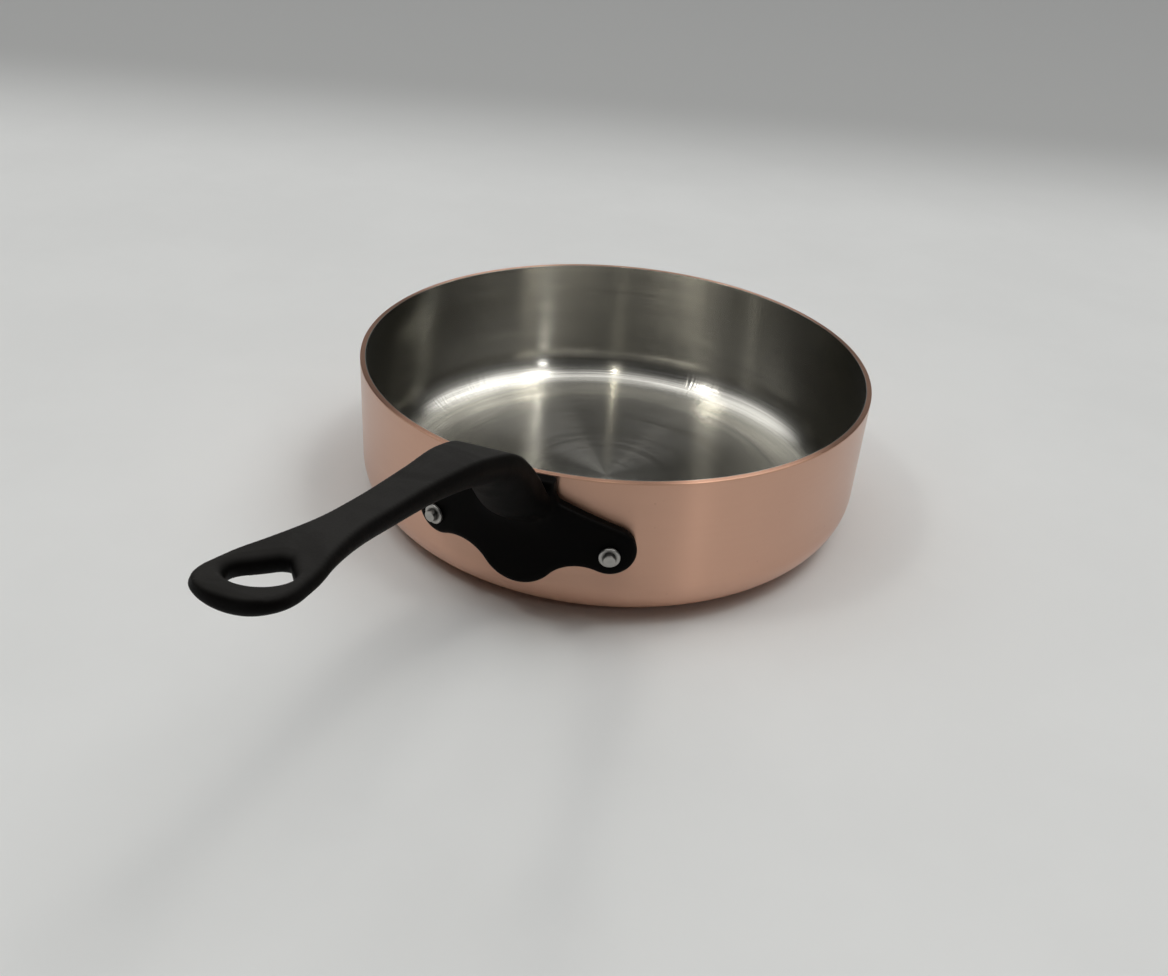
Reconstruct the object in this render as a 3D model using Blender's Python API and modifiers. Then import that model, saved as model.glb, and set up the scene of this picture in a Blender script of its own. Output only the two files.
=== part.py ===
"""A 24 cm saute pan: a straight copper body lined with steel, and a cast-iron handle on two rivets.

Metres, +Z up. The origin is the middle of the flat base, and the handle points along -Y.
Run with: blender --background --python part.py, or from Blender's text editor.
"""

import math

import bmesh
import bpy
import numpy as np
from mathutils import Matrix, Vector

MM = 0.001

# Pan body
RIM_RADIUS = 120 * MM  # outer face of the copper wall
PAN_HEIGHT = 70 * MM
CORNER_RADIUS = 20.8 * MM  # outside, between wall and base
COPPER_THICKNESS = 1.7 * MM
LINING_THICKNESS = 0.5 * MM
RIM_EDGE = 0.3 * MM  # chamfer along the rim's edges
GAP = 0.3 * MM  # between pieces that touch on the real pan

# Bracket, the three-lobed plate on the wall. Drops are measured down from the rim.
BRACKET_THICKNESS = 5.4 * MM
BRACKET_EDGE = 1.0 * MM  # rounding of its edges
RIVET_ARC = 37.4 * MM  # along the wall, from the handle's middle plane
RIVET_DROP = 30.5 * MM
WING_RISE = 1.1 * MM  # of the lobe's middle above the rivet
WING_RADIUS = 10.2 * MM  # lobe round each rivet
LOBE_RADIUS = 14.4 * MM  # lobe at the bottom
LOBE_DROP = 37.0 * MM
WAIST_RADIUS = 15.0 * MM  # hollow between the bottom lobe and a wing
WING_SLOPE = math.radians(25.7)  # of a wing's straight upper edge
NECK_HALF = 14.2 * MM
NECK_FILLET = 6.7 * MM  # hollow between the neck and a wing's upper edge

# Rivets
SHANK_RADIUS = 2.5 * MM
SHANK_END = 2.2 * MM  # how far the shank stands out of the collar
COLLAR_RADIUS = 4.35 * MM
COLLAR_HEIGHT = 1.5 * MM
RIVET_EDGE = 0.3 * MM  # chamfer of the collar and of the shank's end
HEAD_RADIUS = 6.5 * MM  # low dome inside the pan
HEAD_HEIGHT = 1.8 * MM
HEAD_SIDE = 0.45 * MM  # straight side below the dome

# Arch and grip. Each row: how far out from the wall and up from the rim the middle of the top
# face lies, the same for the underside, then half the top face's width and half the full width.
HANDLE_ROWS = [
    (1.5, -11.5, 1.5, -22.5, 14.3, 16.2),
    (5.7, -5.6, 5.7, -19.5, 13.2, 14.6),
    (13.3, 5.3, 21.0, -9.5, 12.5, 12.9),
    (22.5, 15.8, 32.0, 4.3, 12.1, 12.7),
    (36.5, 27.9, 44.0, 17.0, 11.5, 12.3),
    (58.0, 37.6, 62.5, 26.3, 9.9, 10.8),
    (88.0, 45.5, 90.0, 36.0, 7.3, 8.3),
    (120.0, 52.7, 121.0, 44.4, 6.3, 7.3),
    (137.0, 56.8, 138.0, 49.0, 6.5, 7.5),
    (157.0, 61.6, 158.0, 54.3, 9.3, 10.1),
    (167.0, 63.8, 167.6, 56.8, 11.5, 12.3),
    (177.5, 66.1, 177.5, 59.4, 12.7, 13.6),
]
END_LENGTH = 11.7 * MM  # from the last row to the tip
END_SQUARENESS = 0.74  # power of sine and cosine round the end: 1 is an ellipse, less is squarer
END_ROUNDING = 2.6 * MM  # of the end's upper and lower edges
SIDE_DEPTH = 0.4  # share of the thickness at which a section is widest
SIDE_SWELL = (0.75, 0.6)  # a point of the side: share of its widening, share of its depth
CREASE = 0.9 * MM  # rounding between the top face and the sides

# Hanging hole: two circles joined by tangents, narrow end toward the pan
HOLE_WALL = 6.4 * MM  # iron left between the hole's narrowest ring and the grip's tip
HOLE_RADIUS = 8.0 * MM
HOLE_TIP_RADIUS = 3.0 * MM
HOLE_SPAN = 6.2 * MM  # between the two circles' middles
HOLE_FLARE = 4.3 * MM  # how far its rounded rims open
HOLE_FLARE_SHARE = 1.07  # half height of the rounding, as a share of half the thickness
HOLE_FLARE_REACH = 0.99  # how much of the rounding's quarter turn the rims use

# Facets
TURN_STEPS = 96
CORNER_STEPS = 7
RIVET_STEPS = 32
DOME_STEPS = 5
LOBE_STEPS = 8
WING_STEPS = 12
FILLET_STEPS = 6
ROWS_BETWEEN = 4
UNDER_STEPS = 5
HOLE_STEPS = 40
HOLE_LEVELS = 9
END_STEPS = 7

LINING_RADIUS = RIM_RADIUS - COPPER_THICKNESS - GAP
INNER_RADIUS = LINING_RADIUS - LINING_THICKNESS
BRACKET_RADIUS = RIM_RADIUS + GAP  # its face on the wall
BRACKET_FACE = BRACKET_RADIUS + BRACKET_THICKNESS
BEND_RADIUS = BRACKET_RADIUS + BRACKET_THICKNESS / 2
RIVET_ANGLE = RIVET_ARC / BEND_RADIUS
RIVET_HEIGHT = PAN_HEIGHT - RIVET_DROP
HOLE_OUT = HANDLE_ROWS[-1][0] * MM + END_LENGTH - HOLE_WALL - HOLE_RADIUS
HOLE_TIP_OUT = HOLE_OUT - HOLE_SPAN


def clear_scene():
    for old in list(bpy.data.objects):
        bpy.data.objects.remove(old)


def new_collection(name):
    collection = bpy.data.collections.new(name)
    bpy.context.scene.collection.children.link(collection)
    return collection


def finish(name, colour, roughness, metallic=1.0):
    """A Principled material."""
    material = bpy.data.materials.new(name)
    material.use_nodes = True
    shader = material.node_tree.nodes["Principled BSDF"]
    shader.inputs["Base Color"].default_value = (*colour, 1)
    shader.inputs["Roughness"].default_value = roughness
    shader.inputs["Metallic"].default_value = metallic
    return material


def add_object(name, mesh, collection, material=None):
    obj = bpy.data.objects.new(name, mesh)
    collection.objects.link(obj)
    if material:
        mesh.materials.append(material)
    return obj


def add_cutter(name, mesh, collection):
    cutter = add_object(name, mesh, collection)
    cutter.hide_render = True
    cutter.display_type = "WIRE"
    return cutter


def boolean(obj, other, operation):
    modifier = obj.modifiers.new(f"{operation.lower()} {other.name}", "BOOLEAN")
    modifier.operation = operation
    modifier.object = other
    modifier.solver = "EXACT"


def turned(name, profile, steps, collection, material):
    """A profile in X and Z, turned about Z by a Screw modifier."""
    mesh = bpy.data.meshes.new(name)
    points = [(x, 0, z) for x, z in profile]
    mesh.from_pydata(points, [(i, i + 1) for i in range(len(points) - 1)], [])
    obj = add_object(name, mesh, collection, material)
    screw = obj.modifiers.new("turn", "SCREW")
    screw.steps = steps
    screw.render_steps = steps
    screw.use_merge_vertices = True
    screw.merge_threshold = 0.00001
    screw.use_smooth_shade = True
    return obj


def arc(centre, radius, start, end, steps):
    """Points of an arc in a plane, angles in radians."""
    angles = [start + (end - start) * i / steps for i in range(steps + 1)]
    return [(centre[0] + radius * math.cos(a), centre[1] + radius * math.sin(a)) for a in angles]


def bowl_profile(outer, bottom, wall, corner):
    """From the axis on the inner floor, up to the rim and down the outer side to the axis."""
    inner = arc(
        (outer - corner, bottom + corner), corner - wall, -math.pi / 2, 0, CORNER_STEPS
    )
    outside = arc((outer - corner, bottom + corner), corner, 0, -math.pi / 2, CORNER_STEPS)
    rim = [
        (outer - wall, PAN_HEIGHT - RIM_EDGE),
        (outer - wall + RIM_EDGE / 2, PAN_HEIGHT),
        (outer - RIM_EDGE / 2, PAN_HEIGHT),
        (outer, PAN_HEIGHT - RIM_EDGE),
    ]
    return [(0, bottom + wall), *inner, *rim, *outside, (0, bottom)]


def make_copper_shell(collection):
    profile = bowl_profile(RIM_RADIUS, 0, COPPER_THICKNESS, CORNER_RADIUS)
    return turned(
        "copper_shell", profile, TURN_STEPS, collection, finish("copper", (0.78, 0.42, 0.30), 0.33)
    )


def make_steel_lining(collection):
    bottom = COPPER_THICKNESS + GAP
    profile = bowl_profile(LINING_RADIUS, bottom, LINING_THICKNESS, CORNER_RADIUS - bottom)
    return turned(
        "steel_lining",
        profile,
        TURN_STEPS,
        collection,
        finish("lining steel", (0.58, 0.56, 0.53), 0.30),
    )


def wall_matrix(side):
    """The rivet's frame on the wall's axis: Z points outwards along the rivet, X up."""
    angle = side * RIVET_ANGLE
    outwards = Vector((math.sin(angle), -math.cos(angle), 0))
    up = Vector((0, 0, 1))
    across = outwards.cross(up)
    matrix = Matrix((up, across, outwards)).transposed().to_4x4()
    matrix.translation = (0, 0, RIVET_HEIGHT)
    return matrix


def chord_seat(radius, reach):
    """How far from the axis a flat face lies when its rim, reach from its middle, meets radius."""
    return math.sqrt(radius * radius - reach * reach)


def make_rivet(name, side, collection, material):
    """Low dome inside, shank through lining, copper and bracket, its end in a collar outside."""
    seat = BRACKET_FACE + GAP
    collar = seat + COLLAR_HEIGHT
    end = collar + SHANK_END
    head = chord_seat(INNER_RADIUS - GAP, HEAD_RADIUS)
    rise = HEAD_HEIGHT - HEAD_SIDE
    dome = [
        (HEAD_RADIUS * math.cos(a), head - HEAD_SIDE - rise * math.sin(a))
        for a in (math.pi / 2 * i / DOME_STEPS for i in range(DOME_STEPS))
    ]
    profile = [
        (0, end),
        (SHANK_RADIUS - RIVET_EDGE, end),
        (SHANK_RADIUS, end - RIVET_EDGE),
        (SHANK_RADIUS, collar),
        (COLLAR_RADIUS - RIVET_EDGE, collar),
        (COLLAR_RADIUS, collar - RIVET_EDGE),
        (COLLAR_RADIUS, seat),
        (SHANK_RADIUS, seat),
        (SHANK_RADIUS, head),
        (HEAD_RADIUS, head),
        *dome,
        (0, head - HEAD_HEIGHT),
    ]
    rivet = turned(name, profile, RIVET_STEPS, collection, material)
    rivet.matrix_world = wall_matrix(side)
    return rivet


def make_rivet_cutter(name, side, collection):
    """A drill for the rivet's hole, through bracket, copper and lining."""
    inner_end = INNER_RADIUS - HEAD_RADIUS
    outer_end = BRACKET_FACE + COLLAR_RADIUS
    bm = bmesh.new()
    bmesh.ops.create_cone(
        bm,
        cap_ends=True,
        segments=RIVET_STEPS,
        radius1=SHANK_RADIUS + GAP,
        radius2=SHANK_RADIUS + GAP,
        depth=outer_end - inner_end,
    )
    bmesh.ops.translate(bm, verts=bm.verts, vec=(0, 0, (outer_end + inner_end) / 2))
    mesh = bpy.data.meshes.new(name)
    bm.to_mesh(mesh)
    bm.free()
    cutter = add_cutter(name, mesh, collection)
    cutter.matrix_world = wall_matrix(side)
    return cutter


def bracket_outline():
    """Right half of the flat bracket's outline, from its lowest point up to the rim.

    X runs along the wall from the handle's middle plane, the second value is the height.
    """
    lobe = Vector((0, PAN_HEIGHT - LOBE_DROP))
    wing = Vector((RIVET_ARC, RIVET_HEIGHT + WING_RISE))
    # The waist's circle touches both lobes from outside.
    to_wing = wing - lobe
    span = to_wing.length
    reach = LOBE_RADIUS + WAIST_RADIUS
    along = (reach**2 - (WING_RADIUS + WAIST_RADIUS) ** 2 + span**2) / (2 * span)
    aside = math.sqrt(reach**2 - along**2)
    unit = to_wing / span
    waist = lobe + along * unit + aside * Vector((unit.y, -unit.x))
    # The neck's hollow touches the neck's side and the wing's straight upper edge.
    normal = Vector((math.sin(WING_SLOPE), math.cos(WING_SLOPE)))
    hollow_x = NECK_HALF + NECK_FILLET
    hollow_z = wing.y + (WING_RADIUS + NECK_FILLET - (hollow_x - wing.x) * normal.x) / normal.y
    hollow = Vector((hollow_x, hollow_z))

    def toward(origin, target):
        return math.atan2(target.y - origin.y, target.x - origin.x)

    lobe_to_waist = toward(lobe, waist)
    waist_to_wing = toward(waist, wing)
    return [
        *arc(lobe, LOBE_RADIUS, -math.pi / 2, lobe_to_waist, LOBE_STEPS),
        *arc(waist, WAIST_RADIUS, lobe_to_waist + math.pi, waist_to_wing, LOBE_STEPS)[1:],
        *arc(wing, WING_RADIUS, waist_to_wing - math.pi, math.pi / 2 - WING_SLOPE, WING_STEPS)[1:],
        *arc(hollow, NECK_FILLET, -math.pi / 2 - WING_SLOPE, -math.pi, FILLET_STEPS),
        (NECK_HALF, PAN_HEIGHT),
    ]


def bent(along, height, depth, step):
    """A point of the flat plate, bent round the wall in flat strips as wide as the wall's facets."""
    strip = math.floor(along / step)
    share = along / step - strip
    radius = BEND_RADIUS + depth
    ends = [
        Vector((radius * math.sin(k * step / BEND_RADIUS), -radius * math.cos(k * step / BEND_RADIUS)))
        for k in (strip, strip + 1)
    ]
    return (*ends[0].lerp(ends[1], share), height)


def make_bracket(collection):
    """The plate, extruded flat with rounded edges, then bent round the wall."""
    right = bracket_outline()
    outline = right + [(-x, z) for x, z in reversed(right[1:])]
    curve = bpy.data.curves.new("bracket_outline", "CURVE")
    curve.dimensions = "2D"
    curve.fill_mode = "BOTH"
    curve.extrude = BRACKET_THICKNESS / 2 - BRACKET_EDGE
    curve.bevel_depth = BRACKET_EDGE
    curve.bevel_resolution = 1
    curve.offset = -BRACKET_EDGE
    spline = curve.splines.new("POLY")
    spline.points.add(len(outline) - 1)
    for point, (x, z) in zip(spline.points, outline):
        point.co = (x, z, 0, 1)
    spline.use_cyclic_u = True
    flat = add_object("bracket_flat", curve, collection)
    graph = bpy.context.evaluated_depsgraph_get()
    mesh = bpy.data.meshes.new_from_object(flat.evaluated_get(graph))
    bpy.data.objects.remove(flat)

    bm = bmesh.new()
    bm.from_mesh(mesh)
    bmesh.ops.remove_doubles(bm, verts=bm.verts, dist=0.00001)
    bmesh.ops.dissolve_limit(
        bm, angle_limit=math.radians(1), verts=bm.verts, edges=bm.edges, delimit={"NORMAL"}
    )
    step = 2 * math.pi / TURN_STEPS * BEND_RADIUS
    widest = max(vertex.co.x for vertex in bm.verts)
    count = math.ceil(widest / step)
    for i in range(-count, count + 1):
        geometry = bm.verts[:] + bm.edges[:] + bm.faces[:]
        bmesh.ops.bisect_plane(bm, geom=geometry, plane_co=(i * step, 0, 0), plane_no=(1, 0, 0))
    for vertex in bm.verts:
        vertex.co = bent(*vertex.co, step)
    bmesh.ops.recalc_face_normals(bm, faces=bm.faces)
    bm.to_mesh(mesh)
    bm.free()
    mesh.name = "handle"
    return mesh


def smooth_rows(rows, between):
    """Rows read from a smooth curve through the given ones, spaced by the top face's length."""
    rows = np.array(rows) * MM
    steps = np.linalg.norm(np.diff(rows[:, :2], axis=0), axis=1)
    at = np.concatenate([[0], np.cumsum(steps)])
    slopes = np.gradient(rows, at, axis=0)
    found = []
    for i in range(len(rows) - 1):
        length = at[i + 1] - at[i]
        for k in range(between):
            t = k / between
            found.append(
                (2 * t**3 - 3 * t**2 + 1) * rows[i]
                + (t**3 - 2 * t**2 + t) * length * slopes[i]
                + (3 * t**2 - 2 * t**3) * rows[i + 1]
                + (t**3 - t**2) * length * slopes[i + 1]
            )
    return [*found, rows[-1]]


def grip_slope():
    """Rise of the top face near the grip's end."""
    before, last = HANDLE_ROWS[-2], HANDLE_ROWS[-1]
    return (last[1] - before[1]) / (last[0] - before[0])


def end_rows(row):
    """The rows past the last one, round to the grip's far end."""
    top_out, top_up, under_out, under_up, flat, full = row
    rounding = min(END_ROUNDING, 0.45 * (top_up - under_up))
    found = []
    for i in range(1, END_STEPS + 1):
        turn = math.pi / 2 * i / (END_STEPS + 0.35)
        out = END_LENGTH * math.sin(turn) ** END_SQUARENESS
        narrowing = math.cos(turn) ** END_SQUARENESS
        inset = max(0.0, rounding - (END_LENGTH - out))
        drop = rounding - math.sqrt(rounding**2 - inset**2)
        found.append(
            (
                top_out + out,
                top_up + grip_slope() * out - drop,
                under_out + out,
                under_up + grip_slope() * out + drop,
                flat * narrowing,
                full * narrowing,
            )
        )
    return found


def section(row):
    """One closed ring of the handle: flat top, rounded crease, swelling side, round underside."""
    top_out, top_up, under_out, under_up, flat, full = row
    top = Vector((0, -RIM_RADIUS - top_out, PAN_HEIGHT + top_up))
    under = Vector((0, -RIM_RADIUS - under_out, PAN_HEIGHT + under_up))
    down = under - top
    thickness = down.length
    crease = min(CREASE, flat / 3)
    inset = crease * (1 - math.cos(math.pi / 4))
    half = [
        (flat / 3, 0),
        (flat * 2 / 3, 0),
        (flat - crease, 0),
        (flat - inset, inset / thickness),
        (flat, crease / thickness),
        (flat + (full - flat) * SIDE_SWELL[0], SIDE_DEPTH * SIDE_SWELL[1]),
        (full, SIDE_DEPTH),
    ]
    for i in range(1, UNDER_STEPS):
        turn = math.pi / 2 * i / UNDER_STEPS
        half.append((full * math.cos(turn), SIDE_DEPTH + (1 - SIDE_DEPTH) * math.sin(turn)))
    ring = [(0, 0), *half, (0, 1), *[(-x, share) for x, share in reversed(half)]]
    return [top + down * share + Vector((x, 0, 0)) for x, share in ring]


def loft(name, rings):
    """A closed mesh through rings of equally many points, with flat ends."""
    count = len(rings[0])
    bm = bmesh.new()
    lines = [[bm.verts.new(point) for point in ring] for ring in rings]
    for first, second in zip(lines, lines[1:]):
        for k in range(count):
            n = (k + 1) % count
            bm.faces.new((first[k], second[k], second[n], first[n]))
    bm.faces.new(lines[0])
    bm.faces.new(reversed(lines[-1]))
    bmesh.ops.recalc_face_normals(bm, faces=bm.faces)
    mesh = bpy.data.meshes.new(name)
    bm.to_mesh(mesh)
    bm.free()
    return mesh


def make_arch(collection):
    rows = smooth_rows(HANDLE_ROWS, ROWS_BETWEEN)
    rows += end_rows(rows[-1])
    return add_cutter("arch_and_grip", loft("arch_and_grip", [section(r) for r in rows]), collection)


def teardrop(tip_radius, end_radius, length):
    """The hole's outline: two circles, length apart along X, joined by their tangents."""
    lean = math.acos((tip_radius - end_radius) / length)
    steps = HOLE_STEPS // 2
    end = arc((length, 0), end_radius, -lean, lean, steps)
    tip = arc((0, 0), tip_radius, lean, 2 * math.pi - lean, steps)
    return end + tip


def make_hole_cutter(collection):
    """A spool through the grip's end, narrowest halfway down, so that both rims are rounded."""
    last_out, last_up, _, last_under, _, _ = HANDLE_ROWS[-1]
    half = (last_up - last_under) * MM / 2
    flare_height = half * HOLE_FLARE_SHARE
    levels = [-1 + 2 * i / (HOLE_LEVELS - 1) for i in range(HOLE_LEVELS)]
    rings = []
    for share in (-1, *levels, 1):
        level = math.sin(share * math.pi / 2)
        widening = HOLE_FLARE * (1 - math.sqrt(1 - HOLE_FLARE_REACH * level**2))
        height = level * flare_height
        if len(rings) in (0, HOLE_LEVELS + 1):
            height = share * (flare_height + half)
        outline = teardrop(HOLE_TIP_RADIUS + widening, HOLE_RADIUS + widening, HOLE_SPAN)
        rings.append([Vector((x, y, height)) for x, y in outline])
    cutter = add_cutter("hanging_hole", loft("hanging_hole", rings), collection)
    lean = math.atan(grip_slope())
    along = Vector((0, -math.cos(lean), math.sin(lean)))
    up = Vector((0, math.sin(lean), math.cos(lean)))
    matrix = Matrix((along, up.cross(along), up)).transposed().to_4x4()
    drop = (last_out * MM - HOLE_TIP_OUT) * grip_slope() + half
    matrix.translation = (0, -RIM_RADIUS - HOLE_TIP_OUT, PAN_HEIGHT + last_up * MM - drop)
    cutter.matrix_world = matrix
    return cutter


def main():
    clear_scene()
    parts = new_collection("saute_pan")
    cutters = new_collection("cutters")

    copper = make_copper_shell(parts)
    lining = make_steel_lining(parts)
    handle = add_object(
        "handle", make_bracket(parts), parts, finish("cast iron", (0.045, 0.045, 0.047), 0.48, 0.6)
    )
    boolean(handle, make_arch(cutters), "UNION")
    boolean(handle, make_hole_cutter(cutters), "DIFFERENCE")

    rivet_steel = finish("rivet steel", (0.62, 0.61, 0.59), 0.28)
    for word, side in (("right", 1), ("left", -1)):
        drill = make_rivet_cutter(f"{word}_rivet_drill", side, cutters)
        for piece in (copper, lining, handle):
            boolean(piece, drill, "DIFFERENCE")
        make_rivet(f"rivet_{word}", side, parts, rivet_steel)


main()
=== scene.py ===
"""Finish of a 24 cm copper saute pan: satin copper outside, brushed steel inside, a black cast handle.

The pan stands on its flat base at the origin, +Z up, with the handle along -Y.
"""

import math

import bmesh
import bpy
import numpy as np
from mathutils import Matrix, Vector
from mathutils.bvhtree import BVHTree


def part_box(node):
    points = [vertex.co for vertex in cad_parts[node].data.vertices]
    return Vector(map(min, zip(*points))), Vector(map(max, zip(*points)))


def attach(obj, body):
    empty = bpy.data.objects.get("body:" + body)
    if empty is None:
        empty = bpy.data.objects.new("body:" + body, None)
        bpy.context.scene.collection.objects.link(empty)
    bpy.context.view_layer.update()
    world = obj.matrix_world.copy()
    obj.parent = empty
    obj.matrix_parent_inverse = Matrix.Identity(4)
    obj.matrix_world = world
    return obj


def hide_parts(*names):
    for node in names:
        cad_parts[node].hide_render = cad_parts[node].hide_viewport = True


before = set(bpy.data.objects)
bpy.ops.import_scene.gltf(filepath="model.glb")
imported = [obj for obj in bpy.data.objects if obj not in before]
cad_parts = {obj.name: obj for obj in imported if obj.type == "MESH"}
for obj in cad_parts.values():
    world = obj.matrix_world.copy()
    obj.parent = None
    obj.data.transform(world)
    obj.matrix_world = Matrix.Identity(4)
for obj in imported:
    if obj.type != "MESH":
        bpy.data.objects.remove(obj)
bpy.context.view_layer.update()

bl_info = {
    "name": "Saute Pan",
    "version": (1, 0, 0),
    "blender": (4, 5, 0),
    "location": "View3D > Sidebar > Saute Pan",
    "description": "Builds the copper body, steel lining, cast handle, rivets and stage of a saute pan",
    "category": "Object",
}

MM = 0.001
PER_METRE = 1000.0  # millimetres
QUARTER = math.pi / 2
TINY = 1e-9
TINY_AREA = 1e-12
ROOT = "root"
SIDES = {"left": -1, "right": 1}

# Pan body
PAN_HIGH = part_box("copper_shell")[1]
RIM_RADIUS = PAN_HIGH.x
PAN_HEIGHT = PAN_HIGH.z
CORNER_RADIUS = 20.8 * MM  # outside, between wall and base
COPPER_THICKNESS = 2.2 * MM
LINING_THICKNESS = 0.3 * MM
BOND = 0.02 * MM  # between the copper and the lining bonded into it
RIM_EDGE = 0.45 * MM  # rounding of the rim's outer edge
RIM_INNER_EDGE = 0.12 * MM  # and of its inner edges
EDGE_FADE = 0.4 * MM  # below the rim's edges, where the wear ends
BODY_SEGMENTS = 256
CORNER_STEPS = 28
EDGE_STEPS = 5

# Short strokes across the lining's rounded corner
STROKES_ROUND = 75.0  # how fast they change round the pan, for each radian
STROKE_LENGTH = 70.0  # and along their length, for each metre
STROKE_DEPTH = 1.1  # as a share of the brushed lines' relief
STROKE_FADE = 3 * MM  # on either side of the corner's inner end
STROKE_PATCHES = (79, 152)  # azimuths of the middles of the stroked patches
STROKE_PATCH_REACH = (18, 7)  # angles from a middle: where a patch begins, and is full

# Bracket, the three-lobed plate on the wall. Drops are measured down from the rim.
CLEARANCE = 0.3 * MM  # between the bracket and the wall, and round the rivets
BRACKET_THICKNESS = 5.4 * MM
FRONT_ROUNDING = (1.2 * MM, 3.6 * MM)  # width of the front edge's rounding: at the neck, below it
FRONT_ROUNDING_DEPTH = (1.1 * MM, 2.2 * MM)
NECK_ROUNDING_DROP = (12 * MM, 22 * MM)  # from the first rounding to the second
BACK_ROUNDING = 0.5 * MM
RIVET_ARC = 37.4 * MM  # along the wall, from the handle's middle plane
RIVET_DROP = 30.5 * MM
WING_RISE = 0.9 * MM  # from the rivet's axis up to the middle of its lobe
WING_RADIUS = 10.9 * MM
LOBE_RADIUS = 17.4 * MM
LOBE_DROP = 33.8 * MM
WAIST_RADIUS = 16.0 * MM
WING_SLOPE = math.radians(21.5)
NECK_HALF = 14.2 * MM
NECK_FILLET = 4.8 * MM
OUTLINE_STEPS = 26  # of each round stretch of the bracket's outline
ROUNDING_STEPS = 8
MITRE_LIMIT = 0.5  # least cosine for a mitre, so that no corner moves more than twice as far
BEND_STRIP = 1.2 * MM  # width of the strips that the plate is cut into before it is bent

# Rivets
SHANK_RADIUS = 2.5 * MM
SHANK_END = 2.2 * MM  # how far the shank stands out of the collar
COLLAR_RADIUS = 4.35 * MM
COLLAR_HEIGHT = 1.5 * MM
COLLAR_EDGE = 0.45 * MM
SHANK_EDGE = 0.4 * MM
COLLAR_FOOT = 0.15 * MM  # hollow between the shank's end and the collar
HEAD_RADIUS = 6.5 * MM
HEAD_HEIGHT = 1.8 * MM
HEAD_SIDE = 0.45 * MM  # upright part of the dome's side
HEAD_EDGE_STEPS = 3  # of the dome's profile, which count as its edge
RIVET_SEGMENTS = 96
DRILL_SEGMENTS = 48
DRILL_TOLERANCE = 1.0005

# Painted shade round a shank's end: distances from its side where it begins, is full, thins out and ends
GROOVE_SHADE_REACH = (-SHANK_EDGE / 3, -SHANK_EDGE / 8, 0.15 * MM, 0.8 * MM)
GROOVE_SHADE_DARKENING = 0.85
GROOVE_SHADE_COLOUR = (0.035, 0.033, 0.030)

# Arch and grip. Each row: how far out from the wall and up from the rim the middle of the top
# face lies, the same for the underside, then half the top face's width and half the full width.
HANDLE_ROWS = [
    (1.5, -11.5, 1.5, -22.5, 14.3, 16.2),
    (5.7, -5.6, 5.7, -19.5, 13.2, 14.6),
    (13.3, 5.3, 21.0, -9.5, 12.5, 12.9),
    (22.5, 15.8, 32.0, 4.3, 12.1, 12.7),
    (36.5, 27.9, 44.0, 17.0, 11.5, 12.3),
    (58.0, 37.6, 62.5, 26.3, 9.9, 10.8),
    (88.0, 45.5, 90.0, 36.0, 7.3, 8.3),
    (120.0, 52.7, 121.0, 44.4, 6.3, 7.3),
    (137.0, 56.8, 138.0, 49.0, 6.5, 7.5),
    (157.0, 61.6, 158.0, 54.3, 9.3, 10.1),
    (167.0, 63.8, 167.6, 56.8, 11.5, 12.3),
    (177.5, 66.1, 177.5, 59.4, 12.7, 13.6),
]
ROWS_BETWEEN = 18
END_LENGTH = 11.7 * MM  # from the last row to the tip
END_SQUARENESS = 0.74  # 1 for a round end, less for a squarer one
END_ROUNDING = 2.6 * MM
END_ROUNDING_SHARE = 0.45  # of the grip's thickness, which the rounding is at most
END_STEPS = 36
END_REACH = 7 / 7.35  # share of the quarter turn that the end's rows cover
SIDE_DEPTH = 0.4  # share of the thickness at which a section is widest
SIDE_POWER = 1.36  # how fast a side widens below the crease
CREASE = 0.9 * MM
TOP_STEPS = 7
CREASE_STEPS = 6
SIDE_STEPS = 8
UNDER_STEPS = 18

# Hanging hole: two circles joined by tangents, narrow end toward the pan
HOLE_WALL = 6.6 * MM  # left between the hole and the tip
HOLE_RADIUS = 7.8 * MM
HOLE_TIP_RADIUS = 1.6 * MM
HOLE_SPAN = 10.2 * MM
HOLE_FLARE = 3.6 * MM  # radius of the rounding of its rims
HOLE_FLARE_SHARE = 1.07  # height of the rounded part, as a share of the grip's thickness
HOLE_FLARE_REACH = 0.99  # share of the rounding that is used
HOLE_STEPS = 120
HOLE_LEVELS = 25

# Casting skin of the handle
SKIN_VOXEL = 0.5 * MM
SKIN_RELAX = 6
SKIN_SOFTEN = 3
SKIN_STEP = 0.5  # share of the way that a point moves in one round
NORMAL_ROUNDS = 5  # after which the normals are worked out again
HOLLOW_ROUNDS = 900  # of filling the hollow between the arch and the bracket
HOLLOW_REACH = (13.0 * MM, 5.0 * MM)  # from both surfaces: where the filling begins, and is full
SPREAD_ROUNDS = 3  # of evening out the wear
EDGE_CURVATURE = (120, 520)  # per metre, from unworn to fully worn
PAINTED_TOP_LIGHT_RISE = (0.45, 0.85)  # upward part of the normal, from none to full painted top light
PAINTED_TOP_LIGHT_START = 3 * MM  # distance from the bracket over which the painted top light starts

# Camera, fitted to the photograph: place and turns in a frame whose +Y runs from the camera
# through the pan, which is turned from the pan's own frame by FIT_TURN about Z.
IMAGE_WIDTH = 1168
FOCAL_PIXELS = 1134.2
SENSOR_WIDTH = 36
FIT_TURN = math.radians(15.5)
CAMERA_PLACE = (0, -495.76 * MM, 293.57 * MM)
CAMERA_YAW = math.radians(-1.22)
CAMERA_PITCH = math.radians(31.15)
CAMERA_ROLL = math.radians(4.46)

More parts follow.
